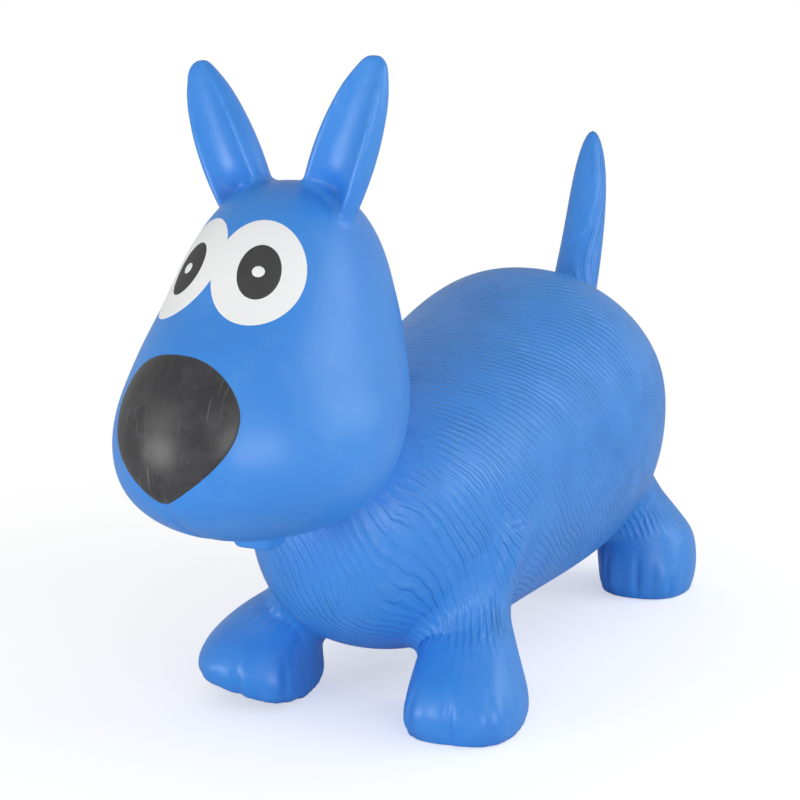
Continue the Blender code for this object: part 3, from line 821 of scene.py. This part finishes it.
def fur_fields(points):
    """The distance across the grooves, and how strongly the coat and the creases show."""
    x, y, z = points.T
    parting = x + PARTING * (1 - soft_step(*PARTING_FADE, y))
    back, up = y / FUR_REACH, (z - FUR_LEVEL) / FUR_REACH
    out = np.hypot(parting, SPINE_ROUND) / FUR_REACH
    across = FUR_REACH * sum(share * back**i * up**j * out**k for share, i, j, k in FUR_SHARES)
    on_tail = reach["tail"] < TAIL_EDGE
    across = np.where(on_tail, TAIL_ACROSS_UP * z + TAIL_ACROSS_BACK * y, across)
    plain = soft_step(TAIL_EDGE_START, TAIL_EDGE, np.abs(reach["tail"] - TAIL_EDGE))
    from_rump = soft_step(*RUMP_FADE, np.hypot(x, z - RUMP_LEVEL))
    plain *= np.where((y > RUMP_Y) & ~on_tail, from_rump, 1.0)
    ears = np.minimum(reach["ear_left"], reach["ear_right"]) + EAR_MARGIN
    coat = soft_step(*HEAD_FADE, np.minimum(reach["head"], ears)) * soft_step(*BELLY_FADE, z)
    coat = np.where(on_tail, 1.0, coat) * plain
    crease, round_leg = np.zeros(len(points)), np.zeros(len(points))
    for corner in corners:
        ends = [corner.centre(share) for share in ANKLE_AXIS_SHARES]
        axis = [np.interp(z, ANKLE_AXIS_HEIGHTS, [end[k] for end in ends]) for k in (0, 1)]
        offset = points[:, :2] - np.stack(axis, 1)
        here = 1 - soft_step(*ANKLE_FADE, reach[corner.name])
        crease = np.maximum(crease, here * bell(z - ANKLE_HEIGHT, ANKLE_BAND))
        near = np.hypot(*offset.T) < ANKLE_REACH
        turn = np.abs(np.arctan2(corner.left * offset[near, 0], -offset[near, 1]))
        round_leg[near] = turn * ANKLE_RADIUS
    return across, coat, crease, round_leg


fur_across, coat, crease, round_leg = fur_fields(points)
print("furred share of the skin", round(float((coat > 0.5).mean()), 2))

# %% [markdown]
# ## The skin's own shading
#
# The skin is cut into pieces where the toy bends. If every piece worked out its own normals, a
# line would show along each cut, so the normals of the whole skin are kept with its points
# before it is cut, together with the fur numbers.

# %% Store the fields
out = outward_of(points)
for name, kind, values in (
    ("smooth_normal", "FLOAT_VECTOR", out),
    ("across", "FLOAT", fur_across),
    ("coat", "FLOAT", coat),
    ("crease", "FLOAT", crease),
    ("round_leg", "FLOAT", round_leg),
):
    layer = skin.attributes.new(name, kind, "POINT")
    layer.data.foreach_set("vector" if kind == "FLOAT_VECTOR" else "value", values.ravel())
faces = [tuple(face.vertices) for face in skin.polygons]
skin_tree = BVHTree.FromPolygons([Vector(point) for point in points], faces)

# %% [markdown]
# ## Where the skin is cut
#
# An ear is cut off round its foot, the tail round its root, and each leg above its ankle. Every
# cut lies where the bend hasn't begun, so nothing opens when the toy moves. The head and the
# two halves of the body don't move against each other: they are cut apart to keep each
# piece light.

# %% Label every face
EAR_CUT, EAR_BEND = 0.002, 0.005
TAIL_CUT, TAIL_BEND = -0.002, 0.002
EAR_GAP, EAR_ABOVE = 0.002, 0.30
TAIL_ABOVE, TAIL_BEHIND = 0.2, 0.2
STRETCH_RADIUS, STRETCH_FREE = 0.030, 0.03
LEG_CUT_HEIGHT, LEG_CUT_REACH = 0.098, 0.008
BODY_CUT = 0.080

# Each face as four corners: a triangle's first one counts twice
face_points = np.array([(*face, face[0])[:4] for face in faces])
centres = points[face_points].mean(1)
face_reach = {name: values[face_points].mean(1) for name, values in reach.items()}
label = np.where(face_reach["head"] < face_reach["torso"], "head", "body_front").astype(object)
label[(label == "body_front") & (centres[:, 1] > BODY_CUT)] = "body_rear"


def stretch_round(foot, way, start):
    """The faces round an axis past a start along it, in a wider ring once they are free."""
    offset = centres - np.array(foot)
    along = offset @ np.array(way)
    away = np.linalg.norm(offset - along[:, None] * np.array(way), axis=1)
    free = (along > STRETCH_FREE) & (away < 3 * STRETCH_RADIUS)
    return (away < STRETCH_RADIUS) & (along > start) | free


for side_name, left in SIDES.items():
    own_side = (centres[:, 0] * left > EAR_GAP) & (centres[:, 2] > EAR_ABOVE)
    label[stretch_round(*ear_axis(left), EAR_CUT) & own_side] = f"ear_{side_name}"
at_rump = (centres[:, 2] > TAIL_ABOVE) & (centres[:, 1] > TAIL_BEHIND)
label[stretch_round(TAIL_FOOT, TAIL_WAY, TAIL_CUT) & at_rump] = "tail"
for corner in corners:
    inside = (face_reach[corner.name] < LEG_CUT_REACH) & (centres[:, 2] < LEG_CUT_HEIGHT)
    label[inside & (label != "head")] = corner.name
for name in sorted(set(label)):
    print(name, int((label == name).sum()), "faces")

# %% [markdown]
# ## Cutting and closing the pieces
#
# Each piece is the whole skin without the faces of the others. Its open rims are drawn inwards,
# against the direction in which the skin faces there, and closed. So each piece is a solid of
# its own, and its closed end stays out of sight inside the dog.

# %% Cut
CAP_DEPTH, CAP_SHARE = 6 * MM, 0.7


def rims(bm):
    """The open edges of a mesh, in one list for each rim."""
    open_edges = {e for e in bm.edges if e.is_boundary}
    while open_edges:
        rim, front = [], [open_edges.pop()]
        while front:
            edge = front.pop()
            rim.append(edge)
            for vert in edge.verts:
                for other in vert.link_edges:
                    if other in open_edges:
                        open_edges.remove(other)
                        front.append(other)
        yield rim


def close(bm):
    """Draw each open rim in towards the piece's own middle, and close it."""
    heart = sum((v.co for v in bm.verts), Vector()) / len(bm.verts)
    straight_out = bm.verts.layers.float_vector["smooth_normal"]
    for rim in list(rims(bm)):
        grown = bmesh.ops.extrude_edge_only(bm, edges=rim)["geom"]
        verts = [g for g in grown if isinstance(g, bmesh.types.BMVert)]
        middle = sum((v.co for v in verts), Vector()) / len(verts)
        outwards = sum((v[straight_out] for v in verts), Vector()) / len(verts)
        inwards = (heart - middle).normalized() * MM - outwards * CAP_DEPTH
        for vert in verts:
            vert.co = middle + (vert.co - middle) * CAP_SHARE + inwards
        ends = [g for g in grown if isinstance(g, bmesh.types.BMEdge) and g.is_boundary]
        last = bmesh.ops.extrude_edge_only(bm, edges=ends)["geom"]
        centre = [g for g in last if isinstance(g, bmesh.types.BMVert)]
        bmesh.ops.pointmerge(bm, verts=centre, merge_co=middle + inwards)
    bmesh.ops.dissolve_degenerate(bm, dist=1e-7, edges=bm.edges)


def cut_piece(part):
    """One piece of the skin, closed, shaded like the whole."""
    name = f"{part}_skin"
    bm = bmesh.new()
    bm.from_mesh(skin)
    others = [face for face, own in zip(bm.faces, label) if own != part]
    bmesh.ops.delete(bm, geom=others, context="FACES")
    close(bm)
    piece = mesh_object(name, bm)
    mesh = piece.data
    mesh.shade_smooth()
    normals = rows_of(mesh.attributes["smooth_normal"].data, "vector")
    lengths = np.linalg.norm(normals, axis=1)[:, None]
    mesh.normals_split_custom_set_from_vertices((normals / np.maximum(lengths, 1e-6)).tolist())
    mesh.attributes.remove(mesh.attributes["smooth_normal"])
    print(name, len(mesh.polygons), "faces")
    return piece


parts = ["body_front", "body_rear", "head", "tail"]
parts += [f"ear_{side_name}" for side_name in SIDES] + [corner.name for corner in corners]
pieces = {f"{part}_skin": cut_piece(part) for part in parts}

# %% [markdown]
# ## Pieces on the skin's body
#
# The body and head pieces ride on the skin's own body. The pieces of the ears, the tail and the
# paws are only set in place, and their CAD parts are hidden. For each leg the code works out a
# bend from above the ankle that leans outwards on its way down, so the inner rim, which lies low
# on the belly, would stay with the body; nothing here uses it.

# %% Ride and set in place
LEG_LOOSE_HEIGHT = 0.064
LEG_BEND_LENGTH = 0.036
LEG_BEND_SLOPE = 0.6
for name in ("body_front_skin", "body_rear_skin", "head_skin"):
    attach(pieces[name], "skin")
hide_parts("torso")
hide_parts("head", "lip_left", "lip_right")
for side_name, left in SIDES.items():
    foot, way = ear_axis(left)
    ear = pieces[f"ear_{side_name}_skin"]
    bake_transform(ear)
    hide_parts(f"ear_{side_name}", f"ear_{side_name}_root")
tail = pieces["tail_skin"]
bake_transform(tail)
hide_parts("tail", "tail_root")
for corner in corners:
    leg = pieces[f"{corner.name}_skin"]
    top = corner.ankle + Z * LEG_LOOSE_HEIGHT
    foot = top + (X * (corner.left * LEG_BEND_SLOPE) - Z).normalized() * LEG_BEND_LENGTH
    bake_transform(leg)
    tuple(foot)
    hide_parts(f"{corner.name}_leg", f"{corner.name}_paw")

# %% [markdown]
# ## Sprayed paint
#
# The nose and eyes are sprayed through a mask held against the face. Each is a thin lens: a
# ball pressed flat whose points are thrown straight back onto the face along the mask's
# direction. Its upper half lies just above the skin, and its lower half is buried in it.

# %% Paint
NOSE_WIDTH, NOSE_HEIGHT = 0.082, 0.084
NOSE_RELIEF, WHITE_RELIEF, PUPIL_RELIEF, GLINT_RELIEF = 2.4 * MM, 0.30 * MM, 0.65 * MM, 1.0 * MM
PAINT_BURIED, PAINT_ROUND, PAINT_EDGE, THROW = 0.4 * MM, 0.6, 8, 0.06
NOSE_TO_EYE_GAP = 0.0075
NOSE_TILT = math.radians(8)
EYE_WIDTH, EYE_HEIGHT = 0.0515, 0.0685
EYE_SPACING, EYE_DROP = 0.0466, 0.0482
EYE_TURN, EYE_TILT = math.radians(14), math.radians(22)
PUPIL_WIDTH, PUPIL_HEIGHT, PUPIL_DROP = 0.0245, 0.036, 0.0005
GLINT_DIAMETER = 0.0075
GLANCE = 1.6 * MM
NOSE_SHARES = [
    (0.00, 1.00), (0.30, 0.97), (0.58, 0.85), (0.82, 0.62), (0.97, 0.34), (1.00, 0.08),
    (0.94, -0.18), (0.78, -0.44), (0.54, -0.68), (0.27, -0.88), (0.08, -0.985), (0.00, -1.00),
]


def nose_outline(turn):
    """The nose's outline at a turn: a rounded triangle, point down."""
    c, s = turn
    return mirrored(NOSE_SHARES, 0.5 - math.atan2(s, abs(c)) / math.pi, c)


def face_point(x, height):
    """The point on the front of the head at a place across it and a height."""
    hit = skin_tree.ray_cast(Vector((x, -1, height)), Y)[0]
    return Vector((x, hit.y, height))


def faceted_object(name, bm, crease):
    """A smooth object that keeps the edges that turn by more than a crease in degrees."""
    bmesh.ops.recalc_face_normals(bm, faces=bm.faces)
    piece = mesh_object(name, bm)
    piece.data.shade_smooth()
    piece.data.set_sharp_from_angle(angle=math.radians(crease))
    return piece


def patch(name, node, point, turn, tilt, outline, width, height, lift):
    """A thin lens of paint on the face, cut off at the middle of the face where it meets it."""
    level = Vector((math.sin(turn), -math.cos(turn), 0))
    outwards = level * math.cos(tilt) + Z * math.sin(tilt)
    across = Z.cross(outwards).normalized()
    up = outwards.cross(across)

    def rule(share, turn, pole):
        spread = 0 if pole else math.sqrt(max(0.0, 4 * share * (1 - share))) ** PAINT_ROUND
        c, s = outline(turn)
        target = point + across * (c * spread * width / 2) + up * (s * spread * height / 2)
        hit = skin_tree.ray_cast(target + outwards * THROW, -outwards)[0]
        raised = lift * max(0.0, 1 - spread**PAINT_EDGE) ** 0.5 if share > 0.5 else -PAINT_BURIED
        return hit + outwards * raised

    bm = blown(name, rule, 128, 64)
    if abs(point.x) > 0.001:
        left = math.copysign(1, point.x)
        half = {"plane_co": Vector(), "plane_no": -X * left, "clear_outer": True}
        cut = bmesh.ops.bisect_plane(bm, geom=bm.verts[:] + bm.edges[:] + bm.faces[:], **half)
        rim = [e for e in cut["geom_cut"] if isinstance(e, bmesh.types.BMEdge)]
        if rim:
            bmesh.ops.contextual_create(bm, geom=rim)
    piece = faceted_object(name, bm, 50)
    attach(piece, "skin")
    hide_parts(node)
    return piece


def oval(turn):
    """A plain ellipse."""
    return turn


eye_level = CHIN_HEIGHT + HEAD_HEIGHT - EYE_DROP
nose_level = eye_level - EYE_HEIGHT / 2 - NOSE_TO_EYE_GAP - NOSE_HEIGHT / 2
nose_size = NOSE_WIDTH, NOSE_HEIGHT, NOSE_RELIEF
spot = face_point(0, nose_level)
paint = {"nose": patch("nose_paint", "nose", spot, 0, NOSE_TILT, nose_outline, *nose_size)}
for side_name, left in SIDES.items():
    spot = face_point(left * EYE_SPACING / 2, eye_level)
    for layer, *size in (
        ("eye_white", EYE_WIDTH, EYE_HEIGHT, WHITE_RELIEF),
        ("pupil", PUPIL_WIDTH, PUPIL_HEIGHT, PUPIL_RELIEF),
        ("pupil_glint", GLINT_DIAMETER, GLINT_DIAMETER, GLINT_RELIEF),
    ):
        key = f"{layer}_{side_name}"
        if layer == "pupil":
            spot = face_point(spot.x + GLANCE, eye_level - PUPIL_DROP)
        paint[key] = patch(f"{key}_paint", key, spot, left * EYE_TURN, EYE_TILT, oval, *size)

# %% [markdown]
# ## The seat of the air plug
#
# The plug presses into a thick boss of the same PVC. A turned part is one outline spun round an
# axis, so the seat starts as a few edges: down the outside, over a soft lip and up into the bore.

# %% Valve seat
# Radius and height above the belly in mm, from the top's middle down and up into the bore
SEAT_OUTLINE = [
    (0.0, 18.5), (8.0, 18.5), (8.4, 18.0), (8.4, 3.0), (12.2, 2.2), (13.0, 1.2),
    (12.6, 0.2), (11.6, -0.3), (9.8, -0.1), (9.4, 0.15), (6.0, 0.15), (5.3, 0.9),
    (5.3, 17.2), (0.0, 17.2),
]
bm = bmesh.new()
verts = [bm.verts.new(VALVE + Vector((r * MM, 0, h * MM))) for r, h in SEAT_OUTLINE]
profile = [bm.edges.new(pair) for pair in zip(verts, verts[1:])]
bmesh.ops.spin(bm, geom=verts + profile, cent=VALVE, axis=Z, angle=math.tau, steps=48, use_merge=True)
bmesh.ops.remove_doubles(bm, verts=bm.verts, dist=1e-6)
valve_seat = faceted_object("valve_seat", bm, 60)
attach(valve_seat, "skin")
print("valve seat", len(valve_seat.data.polygons), "faces")

# %% [markdown]
# ## Soft blue PVC
#
# The skin is plasticised PVC, cast in a heated mould with its pigment in it. It is evenly coloured
# and satin, with soft broad highlights. Plasticiser comes out to the surface and leaves a pale
# bloom in places, and handling polishes others. The pale patches are made stronger than bloom alone,
# so they are partly painted sheen that stands in for some of the soft highlights. So the colour
# drifts over 70 mm, bloom, painted sheen and gloss over 22 mm, and a grain of 1.1 mm breaks up the
# highlights. The coat's grooves stand 5 mm apart and are 1 mm deep. Their line sways by 10 mm over
# 45 mm and ripples by 3 mm over 13 mm, and in patches of 28 mm they are pressed less deeply.

# %% Blue PVC
# The pale blue is real plasticiser bloom and partly painted sheen
PVC_BLUES, BLOOM_AND_SHEEN_BLUE = ("#3586E1", "#4096EC"), "#66A8EA"
DRIFT_SIZE, CLOUD_SIZE, PATCH_SIZE = 70 * MM, 22 * MM, 28 * MM
BLOOM_AND_SHEEN_START, BLOOM_AND_SHEEN_END, BLOOM_AND_SHEEN_SHARE = 0.52, 0.85, 0.30
FUR_PITCH, FUR_DEPTH, RIDGE_START = 5.0 * MM, 1.00 * MM, -0.5
SWAY_SIZE, SWAY = 45 * MM, 10 * MM
RIPPLE_SIZE, RIPPLE, CREASE_RIPPLE = 13 * MM, 3.0 * MM, 4 * MM
PATCH_START, PATCH_END, PATCH_LEAST = 0.34, 0.66, 0.30
CREASE_PITCH, CREASE_SHARE = 5.0 * MM, 0.8
GRAIN_SIZE, GRAIN_DEPTH, GRAIN_STRENGTH = 1.1 * MM, 0.05 * MM, 0.25
PVC_ROUGHNESS, PVC_IOR, LACQUER_IOR = (0.33, 0.42), 1.53, 1.5
NOISE_RANGE = 0.3, 0.7


def linear(colour):
    """A colour written as sRGB hex, as the linear values that nodes expect."""
    channels = [int(colour[i : i + 2], 16) / 255 for i in (1, 3, 5)]
    return tuple(c / 12.92 if c <= 0.04045 else ((c + 0.055) / 1.055) ** 2.4 for c in channels)


def new_material(name):
    """A material with its empty node tree, and the place of a point for its nodes."""
    material = bpy.data.materials.new(name)
    tree = empty_tree(material)
    return material, tree, add_node(tree, "TexCoord", output="Object")


def noise(tree, place, size, detail, roughness=0.5):
    """Noise with blots of a size, and finer ones in them."""
    values = {"Scale": 1 / size, "Detail": detail, "Roughness": roughness}
    return add_node(tree, "TexNoise", values, {"Vector": place}, "Fac")


def calculate(tree, operation, *values):
    """The result of a sum on numbers and other nodes' results."""
    numbers = {i: value for i, value in enumerate(values) if isinstance(value, float)}
    sockets = {i: value for i, value in enumerate(values) if i not in numbers}
    return add_node(tree, "Math", numbers, sockets, operation=operation)


def wave(tree, across, pitch):
    """A wave along a number, from -1 to 1."""
    return calculate(tree, "COSINE", calculate(tree, "MULTIPLY", across, math.tau / pitch))


def tint(tree, share, first, second):
    """A colour between two in sRGB hex. The first may be another node's colour."""
    numbers, sockets = {7: (*linear(second), 1)}, {0: share}
    if isinstance(first, str):
        numbers[6] = (*linear(first), 1)
    else:
        sockets[6] = first
    return add_node(tree, "Mix", numbers, sockets, 2, data_type="RGBA")


def bump(tree, height, depth, strength, **normal):
    """The skin's direction, tilted by a relief."""
    values = {"Strength": strength, "Distance": depth}
    return add_node(tree, "Bump", values, {"Height": height, **normal})


def dress(tree, colour, roughness, normal, ior):
    """Give a material its shader."""
    look = {"Base Color": colour, "Roughness": roughness, "Normal": normal}
    shader = add_node(tree, "BsdfPrincipled", {"IOR": ior}, look)
    add_node(tree, "OutputMaterial", links={"Surface": shader})


pvc, tree, place = new_material("soft blue PVC, rotationally moulded")
across, coat_share, crease_share, round_leg_share = (
    add_node(tree, "Attribute", output="Fac", attribute_name=name)
    for name in ("across", "coat", "crease", "round_leg")
)
drift = noise(tree, place, DRIFT_SIZE, 2.0)
cloud = noise(tree, place, CLOUD_SIZE, 4.0, 0.6)
grain = noise(tree, place, GRAIN_SIZE, 2.0, 0.6)
# Pale patches: real bloom, made stronger so that they also act as painted sheen
bloom_and_sheen = remap(tree, cloud, BLOOM_AND_SHEEN_START, BLOOM_AND_SHEEN_END, 0.0, BLOOM_AND_SHEEN_SHARE)
colour = tint(tree, bloom_and_sheen, tint(tree, drift, *PVC_BLUES), BLOOM_AND_SHEEN_BLUE)
gloss = remap(tree, cloud, *NOISE_RANGE, *PVC_ROUGHNESS)

sway = noise(tree, place, SWAY_SIZE, 0.0)
ripple = noise(tree, place, RIPPLE_SIZE, 1.0, 0.4)
patchy = noise(tree, place, PATCH_SIZE, 3.0, 0.6)
pressed = remap(tree, patchy, PATCH_START, PATCH_END, PATCH_LEAST, 1.0, "SMOOTHSTEP")
swayed = calculate(tree, "MULTIPLY_ADD", sway, SWAY, across)
rippled = calculate(tree, "MULTIPLY_ADD", ripple, RIPPLE, swayed)
groove = remap(tree, wave(tree, rippled, FUR_PITCH), RIDGE_START, 1.0, kind="SMOOTHSTEP")
furred = calculate(tree, "MULTIPLY", calculate(tree, "MULTIPLY", groove, pressed), coat_share)

bent = calculate(tree, "MULTIPLY_ADD", ripple, CREASE_RIPPLE, round_leg_share)
fold = calculate(tree, "MULTIPLY_ADD", wave(tree, bent, CREASE_PITCH), CREASE_SHARE, CREASE_SHARE)
folded = calculate(tree, "MULTIPLY", calculate(tree, "MULTIPLY", fold, pressed), crease_share)
relief = bump(tree, calculate(tree, "MAXIMUM", furred, folded), FUR_DEPTH, 1.0)
dress(tree, colour, gloss, bump(tree, grain, GRAIN_DEPTH, GRAIN_STRENGTH, Normal=relief), PVC_IOR)

for piece in pieces.values():
    piece.data.materials.append(pvc)
valve_seat.data.materials.append(pvc)

# %% [markdown]
# ## Black lacquer on the nose
#
# The paint is a thin vinyl lacquer, matt for the whites and satin for the black nose. It is
# rubbed in use: the nose carries fine scratches, 26 mm long and 0.9 mm wide, and dusty patches
# of 16 mm that show grey on the black.

# %% Black nose lacquer
NOSE_BLACKS = "#333335", "#6A6A6C"
NOSE_ROUGHNESS = 0.30, 0.46
SCRATCH_LENGTH, SCRATCH_WIDTH, SCRATCH_DEPTH = 26 * MM, 0.9 * MM, 0.06 * MM
SCRATCH_TURNS, SCRATCH_LEVELS, SCRATCH_SHARE = (20, 65, 110), (0.79, 0.83), 0.8
DUST_SIZE, DUST_LEVELS, DUST_SHARE = 16 * MM, (0.45, 0.80), 0.35

nose_black, tree, place = new_material("black vinyl lacquer, sprayed")
scratches = []
for turn in SCRATCH_TURNS:
    scale = (1 / SCRATCH_WIDTH, 1 / SCRATCH_LENGTH, 1 / SCRATCH_LENGTH)
    values = {"Rotation": (0, math.radians(turn), 0), "Scale": scale}
    laid = add_node(tree, "Mapping", values, {"Vector": place})
    scratches.append(remap(tree, noise(tree, laid, 1.0, 0.0), *SCRATCH_LEVELS, 0.0, SCRATCH_SHARE))
dust = noise(tree, place, DUST_SIZE, 5.0, 0.65)
worn = calculate(tree, "MAXIMUM", calculate(tree, "MAXIMUM", *scratches[:2]), scratches[2])
both = calculate(tree, "MAXIMUM", worn, remap(tree, dust, *DUST_LEVELS, 0.0, DUST_SHARE))
rough = remap(tree, dust, 0.0, 1.0, *NOSE_ROUGHNESS)
relief = bump(tree, worn, SCRATCH_DEPTH, 0.35)
dress(tree, tint(tree, both, *NOSE_BLACKS), rough, relief, LACQUER_IOR)
paint["nose"].data.materials.append(nose_black)

# %% [markdown]
# ## Lacquers of the eyes and plastic of the plug
#
# The whites, the pupils and the moulded plug are plain, so only their colour and gloss drift a
# little, over 4 to 9 mm. The plug is the CAD model's own solid and gets its plastic here.

# %% Eyes and plug


def speckled(name, dark, light, speck, *roughness):
    """A lacquer or plastic whose colour and gloss drift a little over a distance in mm."""
    material, tree, place = new_material(name)
    drift = noise(tree, place, speck * MM, 4.0, 0.6)
    rough = remap(tree, drift, *NOISE_RANGE, *roughness)
    relief = bump(tree, drift, GRAIN_DEPTH, 0.2)
    dress(tree, tint(tree, drift, dark, light), rough, relief, LACQUER_IOR)
    return material


white_lacquer = speckled("white vinyl lacquer, sprayed", "#F7F8F9", "#FCFCFC", 6, 0.42, 0.52)
black_lacquer = speckled("matt black vinyl lacquer, sprayed", "#343434", "#454545", 4, 0.48, 0.66)
plug_plastic = speckled("white polyethylene, injection moulded", "#DDDEDF", "#E9EAEB", 9, 0.38, 0.48)

for key, piece in paint.items():
    if key == "nose":
        continue
    black = key.startswith("pupil") and "glint" not in key
    piece.data.materials.append(black_lacquer if black else white_lacquer)

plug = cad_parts["valve_plug"]
plug.data.materials.clear()
plug.data.materials.append(plug_plastic)
